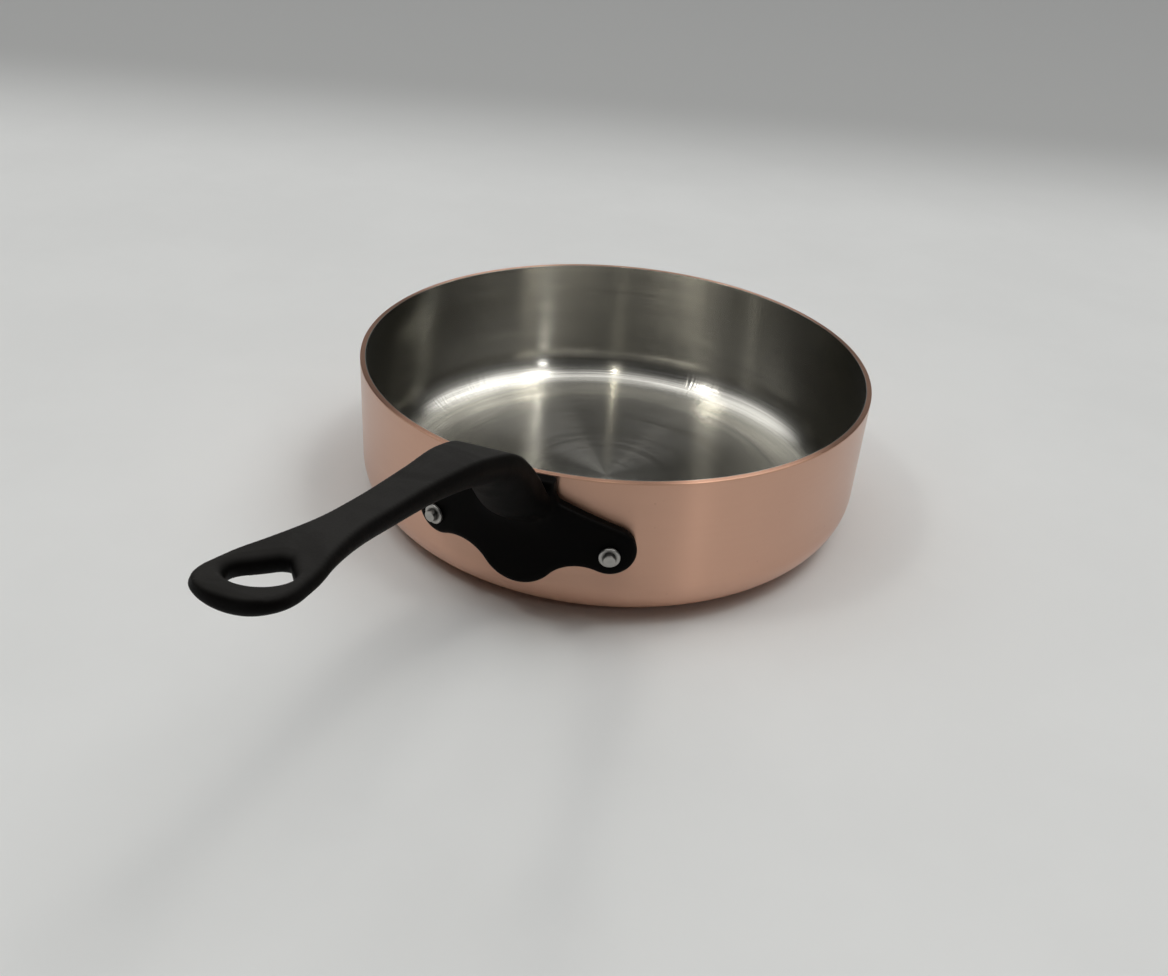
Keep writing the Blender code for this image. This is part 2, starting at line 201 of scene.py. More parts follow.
# Studio. Panels of light: azimuth and elevation of the middle, core and reach as angles from it,
# then brightness. Lamps: name, azimuth, elevation, width and height as angles, brightness, colour.
BACK_AZIMUTH = 105.5
STUDIO_PANELS = [
    (8, 60, 5, 20, 1.7),
    (46, 55, 6, 22, 2.5),
    (178, 57, 8, 30, 1.45),
    (0, 90, 6, 24, 1.45),
]
STUDIO_LAMPS = [
    ("right_lamp", -32, 37, 2.8, 8.0, 10.0, (1.0, 1.0, 1.0)),
    ("strip_lamp", -74.4, 66, 0.8, 16.0, 16.0, (1.0, 0.97, 0.86)),
    ("left_lamp", -147, 60, 8.0, 7.0, 13.0, (1.0, 0.98, 0.93)),
    ("high_lamp", 5, 68, 9.0, 7.0, 9.5, (1.0, 0.98, 0.93)),
]
LAMP_DISTANCE = 2.5
WALL_REACH, WALL_CORE = 48, 20  # angles from its middle: where the wall's light begins, and is full
WALL_FALL = (0.12, 0.62)  # sines of the elevations between which the wall darkens
WALL_END = 0.75  # and of the one where it has faded out
WALL_TOP = 0.42  # share of the wall's light that is left at its top
FLOOR_HALF = 12.0
FLOOR_CELLS = 8
SWEEP_START, SWEEP_END = 0.45, 0.9  # where the flat floor darkens toward the back, as painted shade
SWEEP_PAINTED_SHADE = 0.57

BRACKET_RADIUS = RIM_RADIUS + CLEARANCE
BRACKET_FACE = BRACKET_RADIUS + BRACKET_THICKNESS
BEND_RADIUS = BRACKET_RADIUS + BRACKET_THICKNESS / 2
INNER_RADIUS = RIM_RADIUS - COPPER_THICKNESS - LINING_THICKNESS
RIVET_ANGLE = RIVET_ARC / BEND_RADIUS
RIVET_HEIGHT = PAN_HEIGHT - RIVET_DROP
HOLE_OUT = HANDLE_ROWS[-1][0] * MM + END_LENGTH - HOLE_WALL - HOLE_RADIUS
HOLE_TIP_OUT = HOLE_OUT - HOLE_SPAN


def length_property(name, description, default):
    return bpy.props.FloatProperty(
        name=name, description=description, default=default, min=0, precision=5, unit="LENGTH"
    )


def colour_property(name, description, default):
    return bpy.props.FloatVectorProperty(
        name=name, description=description, default=default, size=3, min=0, max=1, subtype="COLOR"
    )


def factor_property(name, description, default):
    return bpy.props.FloatProperty(
        name=name, description=description, default=default, min=0, max=1, subtype="FACTOR"
    )


def light_property(name, description, default):
    return bpy.props.FloatProperty(name=name, description=description, default=default, min=0)


class SautePanBodySettings(bpy.types.PropertyGroup):
    """Sizes and finish of the copper body and its steel lining."""

    rim_radius: length_property("Rim radius", "Outer radius of the wall", RIM_RADIUS)
    height: length_property("Height", "From the base to the rim", PAN_HEIGHT)
    corner_radius: length_property("Corner radius", "Between wall and base, outside", CORNER_RADIUS)
    copper_thickness: length_property("Copper", "Thickness of the copper", COPPER_THICKNESS)
    lining_thickness: length_property("Lining", "Thickness of the steel lining", LINING_THICKNESS)
    copper_colour: colour_property("Copper colour", "Clean satin copper", (0.83, 0.485, 0.34))
    tarnish_colour: colour_property("Tarnish colour", "Copper that has been handled", (0.72, 0.38, 0.26))
    cut_colour: colour_property("Cut edge colour", "Copper where the rim is cut", (0.76, 0.44, 0.31))
    copper_roughness: factor_property("Copper roughness", "Satin polish of the copper", 0.38)
    film: factor_property("Clear film", "Lacquer that keeps the copper bright", 0.95)
    steel_colour: colour_property("Steel colour", "Brushed steel of the lining", (0.68, 0.665, 0.61))
    steel_roughness: factor_property("Steel roughness", "Brushed finish of the lining", 0.155)


class SautePanHandleSettings(bpy.types.PropertyGroup):
    """Sizes and finish of the cast handle."""

    bracket_thickness: length_property("Bracket thickness", "Of the lobed plate", BRACKET_THICKNESS)
    skin_voxel: length_property("Skin detail", "Finest step of the casting's surface", SKIN_VOXEL)
    iron_colour: colour_property("Iron colour", "Blackened iron", (0.0021, 0.0019, 0.0018))
    # Painted top light: the lighter colour given to the faces that look up
    painted_top_light_colour: colour_property("Rubbed colour", "Top faces rubbed by hands", (0.028, 0.0268, 0.0252))
    worn_colour: colour_property("Worn colour", "Iron at worn edges", (0.014, 0.013, 0.012))
    iron_roughness: factor_property("Iron roughness", "Satin skin of the casting", 0.50)


class SautePanRivetSettings(bpy.types.PropertyGroup):
    """Sizes and finish of the rivets."""

    shank_radius: length_property("Shank radius", "Of the rivet's shank", SHANK_RADIUS)
    collar_radius: length_property("Collar radius", "Of the collar outside", COLLAR_RADIUS)
    head_radius: length_property("Head radius", "Of the low dome inside the pan", HEAD_RADIUS)
    steel_colour: colour_property("Rivet colour", "Satin stainless steel", (0.40, 0.39, 0.37))
    steel_roughness: factor_property("Rivet roughness", "Turned finish", 0.34)


class SautePanStageSettings(bpy.types.PropertyGroup):
    """The floor, the light and the camera."""

    floor_colour: colour_property("Floor colour", "Pale sheet under the pan", (0.86, 0.87, 0.86))
    wall_light: light_property("Wall light", "Brightness of the pale wall behind the pan", 0.29)
    dim_light: light_property("Room light", "Brightness of the room all round", 0.02)


class SautePanSettings(bpy.types.PropertyGroup):
    """All settings of the saute pan."""

    body: bpy.props.PointerProperty(type=SautePanBodySettings)
    handle: bpy.props.PointerProperty(type=SautePanHandleSettings)
    rivets: bpy.props.PointerProperty(type=SautePanRivetSettings)
    stage: bpy.props.PointerProperty(type=SautePanStageSettings)


def cosine(degrees):
    return math.cos(math.radians(degrees))


def heading(azimuth, elevation):
    a, e = math.radians(azimuth), math.radians(elevation)
    return Vector((math.cos(a) * math.cos(e), math.sin(a) * math.cos(e), math.sin(e)))


# Nodes

class Value:
    """A node's output. Plain sums with it make Math nodes in its tree."""

    def __init__(self, socket):
        self.socket = socket
        self.tree = socket.id_data

    def __add__(self, other):
        return calc("ADD", self, other)

    def __radd__(self, other):
        return calc("ADD", other, self)

    def __sub__(self, other):
        return calc("SUBTRACT", self, other)

    def __rsub__(self, other):
        return calc("SUBTRACT", other, self)

    def __mul__(self, other):
        return calc("MULTIPLY", self, other)

    def __truediv__(self, other):
        return calc("DIVIDE", self, other)

    def clamped(self):
        """The same output of a Math node, kept between 0 and 1."""
        self.socket.node.use_clamp = True
        return self


def add_node(tree, kind, **values):
    node = tree.nodes.new(kind)
    for key, value in values.items():
        setattr(node, key, value)
    return node


def feed(socket, value):
    """Links a node's output to the socket, or sets the socket to a plain value."""
    if isinstance(value, Value):
        value.tree.links.new(value.socket, socket)
    else:
        socket.default_value = value


def fill(node, **values):
    """Feeds the node's inputs by name, where _ stands for a space."""
    for name, value in values.items():
        feed(node.inputs[name.replace("_", " ")], value)
    return node


def feed_all(node, *values):
    for socket, value in zip(node.inputs, values):
        feed(socket, value)
    return node


def outputs_of(node):
    return {socket.name: Value(socket) for socket in node.outputs}


def calc(operation, *values):
    tree = next(value.tree for value in values if isinstance(value, Value))
    node = add_node(tree, "ShaderNodeMath", operation=operation)
    return Value(feed_all(node, *values).outputs[0])


def remap(value, low, high, new_low=0.0, new_high=1.0, smooth=False):
    kind = "SMOOTHSTEP" if smooth else "LINEAR"
    node = add_node(value.tree, "ShaderNodeMapRange", clamp=True, interpolation_type=kind)
    return Value(feed_all(node, value, low, high, new_low, new_high).outputs["Result"])


def blend_colour(factor, first, second):
    node = add_node(factor.tree, "ShaderNodeMix", data_type="RGBA")
    feed(node.inputs[0], factor)
    for socket, colour in ((node.inputs[6], first), (node.inputs[7], second)):
        feed(socket, colour if isinstance(colour, Value) else (*colour, 1))
    return Value(node.outputs[2])


def scaled(colour, amount):
    return [min(1.0, part * amount) for part in colour]


def noise(place, scale, detail=2.0, roughness=0.5, distortion=0.0):
    node = add_node(place.tree, "ShaderNodeTexNoise", noise_dimensions="3D")
    fill(node, Vector=place, Scale=scale, Detail=detail, Roughness=roughness, Distortion=distortion)
    return Value(node.outputs[0])


def cells(place, feature, **values):
    """Distance from the middle of the nearest of many scattered cells."""
    node = add_node(place.tree, "ShaderNodeTexVoronoi", feature=feature)
    return Value(fill(node, Vector=place, **values).outputs["Distance"])


def combine(x, y, z):
    return Value(feed_all(add_node(x.tree, "ShaderNodeCombineXYZ"), x, y, z).outputs[0])


def split(vector):
    node = feed_all(add_node(vector.tree, "ShaderNodeSeparateXYZ"), vector)
    return [Value(socket) for socket in node.outputs]


def dot_with(direction, axis):
    node = add_node(direction.tree, "ShaderNodeVectorMath", operation="DOT_PRODUCT")
    return Value(feed_all(node, direction, axis).outputs["Value"])


def own_coordinates(tree):
    return Value(add_node(tree, "ShaderNodeTexCoord").outputs["Object"])


def turned_coordinates(tree):
    """The piece's own x, y and z, and the distance from its Z axis."""
    x, y, z = split(own_coordinates(tree))
    return x, y, z, calc("SQRT", x * x + y * y)


def mesh_value(tree, name):
    """The value that the mesh stores for each point under this name."""
    return Value(add_node(tree, "ShaderNodeAttribute", attribute_name=name).outputs["Fac"])


def new_group(name, effect, inputs):
    """A shader node group of floats. The effect makes its outputs from its inputs."""
    tree = bpy.data.node_groups.new(name, "ShaderNodeTree")
    for label, default in inputs.items():
        socket = tree.interface.new_socket(name=label, in_out="INPUT", socket_type="NodeSocketFloat")
        socket.default_value = default
    made = effect(tree, outputs_of(add_node(tree, "NodeGroupInput")))
    for label in made:
        tree.interface.new_socket(name=label, in_out="OUTPUT", socket_type="NodeSocketFloat")
    feed_all(add_node(tree, "NodeGroupOutput"), *made.values())
    return tree


def place_group(tree, name, **values):
    """Places a shared effect in the tree with its own values. The first use builds it."""
    group = bpy.data.node_groups.get(name) or new_group(name, *EFFECTS[name])
    return outputs_of(fill(add_node(tree, "ShaderNodeGroup", node_tree=group), **values))


# Shared effects

def turned_lines(tree, given):
    """Fine lines round the piece's own Z axis, as turning, brushing or buffing leaves them."""
    x, y, z, radius = turned_coordinates(tree)
    fine = (radius + z) * PER_METRE * given["Lines per mm"]
    round_x = x * given["Sweep"] + given["Seed"]
    round_y = y * given["Sweep"]
    lines = noise(combine(fine, round_x, round_y), 1.0, roughness=0.6)
    streaks = noise(combine(round_y, fine * 0.22, round_x), 1.0, roughness=0.55)
    rare = noise(combine(round_x * 0.8, round_y * 0.8, fine * 1.8), 1.0, detail=1.0, roughness=0.4)
    return {
        "Lines": remap(lines, 0.25, 0.75),
        "Streaks": remap(streaks, 0.3, 0.7),
        "Scratches": remap(rare, 0.72, 0.82),
    }


def handling_marks(tree, given):
    """Soft smudges and a few small specks, as use and wiping leave them."""
    place = own_coordinates(tree)
    clouds = noise(place, given["Size"], detail=4.0, roughness=0.55, distortion=0.6)
    dots = remap(cells(place, "F1", Scale=given["Speck Size"]), 0.10, 0.16, 1.0, 0.0)
    few = remap(noise(place, 60.0, detail=1.0), 0.60, 0.68)
    return {"Smudges": remap(clouds, 0.38, 0.68, smooth=True), "Specks": dots * few}


def cast_grain(tree, given):
    """The fine skin of a sand casting: grain, shallow pits and slow waves."""
    place = own_coordinates(tree)
    grain = noise(place, given["Grain Size"], detail=3.0, roughness=0.6)
    coarse = noise(place, given["Grain Size"] * 0.33)
    waves = noise(place, 90.0)
    pits = remap(cells(place, "SMOOTH_F1", Scale=620.0, Smoothness=0.5), 0.08, 0.26)
    return {
        "Height": grain * 0.45 + coarse * 0.75 + pits * given["Pits"],
        "Grain": remap(grain, 0.3, 0.7),
        "Waves": remap(waves, 0.35, 0.68, smooth=True),
    }


def edge_wear(tree, given):
    """Where edges stand out, broken up by noise. It reads the mesh's own edge values."""
    broken = noise(own_coordinates(tree), given["Break Up"], detail=3.0, roughness=0.6)
    worn = mesh_value(tree, "edge") * remap(broken, 0.30, 0.62, 0.25, 1.0)
    return {"Wear": (worn * given["Amount"]).clamped()}


EFFECTS = {
    "Turned Lines": (turned_lines, {"Lines per mm": 3.0, "Sweep": 22.0, "Seed": 0.0}),
    "Handling Marks": (handling_marks, {"Size": 30.0, "Speck Size": 320.0}),
    "Cast Grain": (cast_grain, {"Grain Size": 1600.0, "Pits": 0.5}),
    "Edge Wear": (edge_wear, {"Amount": 0.6, "Break Up": 350.0}),
}


# Materials

def start_material(name):
    material = bpy.data.materials.new(name)
    material.use_nodes = True
    tree = material.node_tree
    return material, tree, tree.nodes["Principled BSDF"]


def add_bump(shader, height, depth):
    bump = fill(add_node(height.tree, "ShaderNodeBump"), Strength=1.0, Distance=depth, Height=height)
    fill(shader, Normal=Value(bump.outputs["Normal"]))


def comb_round(shader, amount):
    """Stretches highlights across the lines that run round the piece's Z axis."""
    tangent = add_node(shader.id_data, "ShaderNodeTangent", direction_type="RADIAL", axis="Z")
    fill(shader, Anisotropic=amount, Anisotropic_Rotation=0.25, Tangent=Value(tangent.outputs[0]))


def satin_copper(body):
    """Lacquered satin copper: fine polish lines, faint tarnish, bare and browner at the cut rim."""
    material, tree, shader = start_material("satin_copper")
    lines = place_group(tree, "Turned Lines", Lines_per_mm=2.2, Sweep=24.0, Seed=4.0)
    marks = place_group(tree, "Handling Marks", Size=24.0, Speck_Size=260.0)
    wear = place_group(tree, "Edge Wear", Amount=2.6, Break_Up=90.0)["Wear"]
    tarnish = marks["Smudges"] * 0.05 + lines["Streaks"] * 0.06 + marks["Specks"] * 0.7
    colour = blend_colour(tarnish.clamped(), body.copper_colour, body.tarnish_colour)
    rough = lines["Lines"] * 0.06 + (body.copper_roughness - 0.03) + marks["Smudges"] * 0.005
    film = body.film - marks["Smudges"] * 0.05 - wear
    fill(
        shader,
        Base_Color=blend_colour(wear, colour, body.cut_colour),
        Roughness=rough - wear * 0.02,
        Metallic=1.0,
        Coat_Weight=film.clamped(),
        Coat_Roughness=0.32,
    )
    add_bump(shader, lines["Lines"], depth=0.0012 * MM)
    comb_round(shader, amount=1.0)
    return material


def corner_strokes(tree, body):
    """Short strokes across the rounded corner, in patches where its grinding was blended."""
    x, y, z, radius = turned_coordinates(tree)
    away = calc("MAXIMUM", radius, 0.01)
    turn_x, turn_y = x / away, y / away
    place = combine(turn_x * STROKES_ROUND, turn_y * STROKES_ROUND, (radius + z) * STROKE_LENGTH)
    strokes = remap(noise(place, 1.0, detail=1.0, roughness=0.4), 0.3, 0.7)
    start = body.rim_radius - body.corner_radius
    outwards = remap(radius, start - STROKE_FADE, start + STROKE_FADE, smooth=True)
    upwards = remap(z, body.corner_radius, body.corner_radius / 2, smooth=True)
    patches = 0.0
    for azimuth in STROKE_PATCHES:
        facing = dot_with(combine(turn_x, turn_y, 0.0), heading(azimuth, 0))
        patch = remap(facing, *(cosine(angle) for angle in STROKE_PATCH_REACH), smooth=True)
        patches = calc("MAXIMUM", patches, patch)
    return strokes * STROKE_DEPTH * (outwards * upwards * patches)


def brushed_steel(body):
    """The lining: brushed in circles round the wall and the floor, with a few longer scratches."""
    material, tree, shader = start_material("brushed_lining_steel")
    lines = place_group(tree, "Turned Lines", Lines_per_mm=0.6, Sweep=10.0, Seed=0.0)
    marks = place_group(tree, "Handling Marks", Size=20.0, Speck_Size=240.0)
    wear = place_group(tree, "Edge Wear", Amount=0.5, Break_Up=260.0)["Wear"]
    shade = lines["Lines"] * lines["Streaks"]
    colour = blend_colour(shade, body.steel_colour, scaled(body.steel_colour, 0.60))
    glint = calc("MAXIMUM", wear, lines["Scratches"] * 0.15)
    rough = lines["Streaks"] * 0.03 + body.steel_roughness + lines["Lines"] * 0.08
    fill(
        shader,
        Base_Color=blend_colour(glint, colour, scaled(body.steel_colour, 1.25)),
        Roughness=rough + marks["Smudges"] * 0.01,
        Metallic=1.0,
    )
    add_bump(shader, lines["Lines"] + corner_strokes(tree, body), depth=0.03 * MM)
    comb_round(shader, amount=1.0)
    return material


def blackened_iron(handle):
    """Blackened cast iron: satin skin with fine grain, worn lighter along its edges, with painted top light
    on the faces that look up.
    """
    material, tree, shader = start_material("blackened_cast_iron")
    grain = place_group(tree, "Cast Grain", Grain_Size=1500.0, Pits=0.35)
    marks = place_group(tree, "Handling Marks", Size=45.0, Speck_Size=300.0)
    wear = place_group(tree, "Edge Wear", Amount=0.55, Break_Up=420.0)["Wear"]
    brown = [part * more for part, more in zip(handle.iron_colour, (1.5, 1.25, 1.05))]
    colour = blend_colour(grain["Waves"] * 0.6, handle.iron_colour, brown)
    # Painted top light: faces that look up are made lighter, a little less under smudges
    painted_top_light = mesh_value(tree, "painted_top_light") * remap(marks["Smudges"], 0.0, 1.0, 1.0, 0.82)
    colour = blend_colour(painted_top_light, colour, handle.painted_top_light_colour)
    rough = grain["Grain"] * 0.08 + (handle.iron_roughness - 0.04) + marks["Smudges"] * 0.07
    fill(
        shader,
        Base_Color=blend_colour(wear, colour, handle.worn_colour),
        Roughness=rough - wear * 0.12,
        Metallic=0.0,
        Specular_IOR_Level=0.035,
    )
    add_bump(shader, grain["Height"], depth=0.03 * MM)
    return material


def groove_painted_shade(tree, rivets):
    """Painted shade on the shank's side and on the collar close round it, outside the pan only."""
    _, _, z, radius = turned_coordinates(tree)
    begins, full, thins, ends = (rivets.shank_radius + away for away in GROOVE_SHADE_REACH)
    ring = remap(radius, thins, ends, 1.0, 0.0) * remap(radius, begins, full)
    return ring * (remap(z, BRACKET_FACE, BRACKET_FACE + CLEARANCE) * GROOVE_SHADE_DARKENING)


def turned_rivet_steel(rivets):
    """Satin stainless with rings from turning, with painted shade in the hollow round the shank's end."""
    material, tree, shader = start_material("turned_rivet_steel")
    lines = place_group(tree, "Turned Lines", Lines_per_mm=5.0, Sweep=120.0, Seed=2.0)
    marks = place_group(tree, "Handling Marks", Size=200.0, Speck_Size=900.0)
    wear = place_group(tree, "Edge Wear", Amount=0.6, Break_Up=900.0)["Wear"]
    shade = lines["Lines"] * 0.4 + marks["Smudges"] * 0.2
    colour = blend_colour(shade, rivets.steel_colour, scaled(rivets.steel_colour, 0.72))
    # painted shade in the hollow round the shank's end
    colour = blend_colour(groove_painted_shade(tree, rivets), colour, GROOVE_SHADE_COLOUR)
    rough = lines["Streaks"] * 0.10 + (rivets.steel_roughness - 0.05)
    fill(
        shader,
        Base_Color=blend_colour(wear, colour, scaled(rivets.steel_colour, 1.2)),
        Roughness=rough + marks["Smudges"] * 0.06,
        Metallic=1.0,
    )
    add_bump(shader, lines["Lines"], depth=0.0015 * MM)
    comb_round(shader, amount=0.4)
    return material


def pale_sheet(stage):
    """The floor: a pale matte sheet with faint mottling, and painted shade that darkens it toward the back.
    """
    material, tree, shader = start_material("pale_sheet")
    place = own_coordinates(tree)
    mottling = remap(noise(place, 7.0, detail=4.0, roughness=0.6), 0.35, 0.65, smooth=True)
    sheet = blend_colour(mottling, stage.floor_colour, scaled(stage.floor_colour, 0.975))
    # painted shade: the floor darkens toward the back
    back = remap(dot_with(place, heading(BACK_AZIMUTH, 0)), SWEEP_START, SWEEP_END, smooth=True)
    fill(
        shader,
        Base_Color=blend_colour(back, sheet, scaled(stage.floor_colour, SWEEP_PAINTED_SHADE)),
        Roughness=0.62,
        Specular_IOR_Level=0.3,
    )
    return material


# Meshes

def new_object(name, data):
    obj = bpy.data.objects.new(name, data)
    bpy.context.scene.collection.objects.link(obj)
    return obj


def object_from(bm, name):
    """A new object with the mesh that was built in bm, which is freed."""
    mesh = bpy.data.meshes.new(name)
    bm.to_mesh(mesh)
    bm.free()
    return new_object(name, mesh)


def evaluated_mesh(obj, name):
    """The object's mesh with its modifiers applied."""
    graph = bpy.context.evaluated_depsgraph_get()
    mesh = bpy.data.meshes.new_from_object(obj.evaluated_get(graph))
    mesh.name = name
    return mesh


def drop_object(obj):
    mesh = obj.data
    bpy.data.objects.remove(obj)
    bpy.data.meshes.remove(mesh)


def cut_or_join(obj, other, operation):
    """Applies an exact Boolean with the other object, which is then removed."""
    modifier = obj.modifiers.new(operation.lower(), "BOOLEAN")
    modifier.operation = operation
    modifier.object = other
    modifier.solver = "EXACT"
    old = obj.data
    made = evaluated_mesh(obj, old.name)
    obj.modifiers.clear()
    obj.data = made
    bpy.data.meshes.remove(old)
    drop_object(other)
    if not made.polygons:
        raise RuntimeError(f"the {operation.lower()} left nothing of {obj.name}")


def store_values(mesh, name, values):
    layer = mesh.attributes.new(name, "FLOAT", "POINT")
    layer.data.foreach_set("value", np.asarray(values, np.float32))


def finish_piece(obj, material, slot, *nodes):
    """Gives the piece its material, sets it for its nodes, and makes it ride. The slot is not used."""
    obj.data.materials.clear()
    obj.data.materials.append(material)
    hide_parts(*nodes)
    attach(obj, ROOT)


def placement(x_axis, y_axis, z_axis, origin):
    """The matrix that puts a piece's own axes and origin there."""
    matrix = Matrix((x_axis, y_axis, z_axis)).transposed().to_4x4()
    matrix.translation = origin
    return matrix


def ramp(values, start, end):
    """0 at start, 1 at end, straight between them and level outside."""
    return np.clip((values - start) / (end - start), 0, 1)


def between(ends, share):
    return ends[0] + (ends[1] - ends[0]) * share


def arc(centre, radius, start, end, steps):
    """Points of an arc in a plane, angles in radians."""
    angles = [start + (end - start) * i / steps for i in range(steps + 1)]
    return [(centre[0] + radius * math.cos(a), centre[1] + radius * math.sin(a)) for a in angles]


def round_edge(centre, radius, first, last, edge=0.0, steps=EDGE_STEPS, hollow=False):
    """An arc of a turned profile, from first to last in quarter turns.

    Its points are (r, z, normal r, normal z, edge value).
    """
    side = -1 if hollow else 1
    start, end = first * QUARTER, last * QUARTER
    found = []
    for i in range(steps + 1):
        angle = start + (end - start) * i / steps
        r, z = math.cos(angle), math.sin(angle)
        found.append((centre[0] + radius * r, centre[1] + radius * z, side * r, side * z, edge))
    return found


def turned_piece(name, profile, segments):
    """A closed solid turned about Z. The profile starts and ends on the axis."""
    inner = np.array(profile[1:-1])
    turns = np.arange(segments) * 2 * math.pi / segments
    count = len(inner)
    ring = np.stack([np.outer(np.cos(turns), inner[:, 0]), np.outer(np.sin(turns), inner[:, 0]),
                     np.outer(np.ones(segments), inner[:, 1])], axis=2).reshape(-1, 3)
    points = np.concatenate([ring, [(0, 0, profile[0][1]), (0, 0, profile[-1][1])]])
    first, last = len(points) - 2, len(points) - 1
    faces = []
    for k in range(segments):
        here, there = k * count, (k + 1) % segments * count
        faces.append((first, here, there))
        faces.extend((here + i, here + i + 1, there + i + 1, there + i) for i in range(count - 1))
        faces.append((last, there + count - 1, here + count - 1))
    mesh = bpy.data.meshes.new(name)
    mesh.from_pydata(points.tolist(), [], faces)
    bm = bmesh.new()
    bm.from_mesh(mesh)
    bmesh.ops.recalc_face_normals(bm, faces=bm.faces)
    bm.to_mesh(mesh)
    bm.free()
    return new_object(name, mesh)


def shade_turned(obj, profile, holes=()):
    """Exact normals and edge values from the profile, except inside the drilled holes."""
    mesh = obj.data
    points = np.empty(len(mesh.vertices) * 3, np.float32)
    mesh.vertices.foreach_get("co", points)
    points = points.reshape(-1, 3).astype(float)
    flat = np.stack([np.hypot(points[:, 0], points[:, 1]), points[:, 2]], axis=1)
    line = np.array(profile)
    start, step = line[:-1, :2], np.diff(line[:, :2], axis=0)
    best = np.full(len(flat), np.inf)
    found = np.zeros((len(flat), 3))
    for i in range(len(start)):
        length = max(float(step[i] @ step[i]), TINY**2)
        share = np.clip((flat - start[i]) @ step[i] / length, 0, 1)
        away = np.linalg.norm(flat - start[i] - share[:, None] * step[i], axis=1)
        closer = away < best - TINY
        best[closer] = away[closer]
        found[closer] = between((line[i, 2:], line[i + 1, 2:]), share[:, None])[closer]
    radius = np.maximum(flat[:, :1], TINY)
    normals = np.concatenate([points[:, :2] / radius * found[:, :1], found[:, 1:2]], axis=1)
    normals /= np.maximum(np.linalg.norm(normals, axis=1, keepdims=True), TINY)
    store_values(mesh, "edge", found[:, 2])
    mesh.shade_smooth()
    corners = []
    for polygon in mesh.polygons:
        middle = obj.matrix_world @ polygon.center
        drilled = any(hole.inside(middle) for hole in holes)
        for vertex in polygon.vertices:
            corners.append(tuple(polygon.normal) if drilled else tuple(normals[vertex]))
    mesh.normals_split_custom_set(corners)


class RivetHole:
    """A drilled hole across the wall, on a rivet's axis."""

    def __init__(self, side):
        angle = side * RIVET_ANGLE
        self.outwards = Vector((math.sin(angle), -math.cos(angle), 0))
        self.radius = SHANK_RADIUS + CLEARANCE

    def matrix(self):
        up = Vector((0, 0, 1))
        return placement(up, self.outwards.cross(up), self.outwards, (0, 0, RIVET_HEIGHT))

    def inside(self, point):
        offset = point - Vector((0, 0, RIVET_HEIGHT))
        along = offset.dot(self.outwards)
        return along > 0 and (offset - along * self.outwards).length < self.radius * DRILL_TOLERANCE

    def drill(self):
        """The cutter for this hole."""
        inner_end = INNER_RADIUS - HEAD_RADIUS
        outer_end = BRACKET_FACE + COLLAR_RADIUS
        bm = bmesh.new()
        bmesh.ops.create_cone(
            bm, cap_ends=True, segments=DRILL_SEGMENTS,
            radius1=self.radius, radius2=self.radius, depth=outer_end - inner_end,
        )
        bmesh.ops.translate(bm, verts=bm.verts, vec=(0, 0, (outer_end + inner_end) / 2))
        cutter = object_from(bm, "rivet_drill")
        cutter.matrix_world = self.matrix()
        bpy.context.view_layer.update()
        return cutter


# Copper body and lining

def bowl_profile(outer, bottom, wall, corner, height, outer_edge, inner_edge):
    """Turned profile of an open bowl, from the axis under its base to the axis on its floor."""
    inner = outer - wall
    bend = (outer - corner, bottom + corner)
    return [
        (0, bottom, 0, -1, 0),
        *round_edge(bend, corner, -1, 0, steps=CORNER_STEPS),
        (outer, height - outer_edge - EDGE_FADE, 1, 0, 0),
        *round_edge((outer - outer_edge, height - outer_edge), outer_edge, 0, 1, edge=1.0),
        *round_edge((inner + inner_edge, height - inner_edge), inner_edge, 1, 2, edge=1.0),
        (inner, height - inner_edge - EDGE_FADE, -1, 0, 0),
        *round_edge(bend, corner - wall, 0, -1, steps=CORNER_STEPS, hollow=True),
        (0, bottom + wall, 0, 1, 0),
    ]


def build_bowl(name, profile):
    bowl = turned_piece(name, profile, BODY_SEGMENTS)
    holes = [RivetHole(side) for side in SIDES.values()]
    for hole in holes:
        cut_or_join(bowl, hole.drill(), "DIFFERENCE")
    shade_turned(bowl, profile, holes)
    return bowl


def build_copper_body(body):
    profile = bowl_profile(
        body.rim_radius, 0, body.copper_thickness, body.corner_radius, body.height, RIM_EDGE, RIM_INNER_EDGE
    )
    copper = build_bowl("copper_body", profile)
    finish_piece(copper, satin_copper(body), "copper", "copper_shell")


def build_lining(body):
    bottom = body.copper_thickness + BOND
    profile = bowl_profile(
        body.rim_radius - bottom, bottom, body.lining_thickness - BOND, body.corner_radius - bottom,
        body.height, RIM_INNER_EDGE / 2, RIM_INNER_EDGE,
    )
    lining = build_bowl("brushed_lining", profile)
    finish_piece(lining, brushed_steel(body), "lining_steel", "steel_lining")


# Rivets

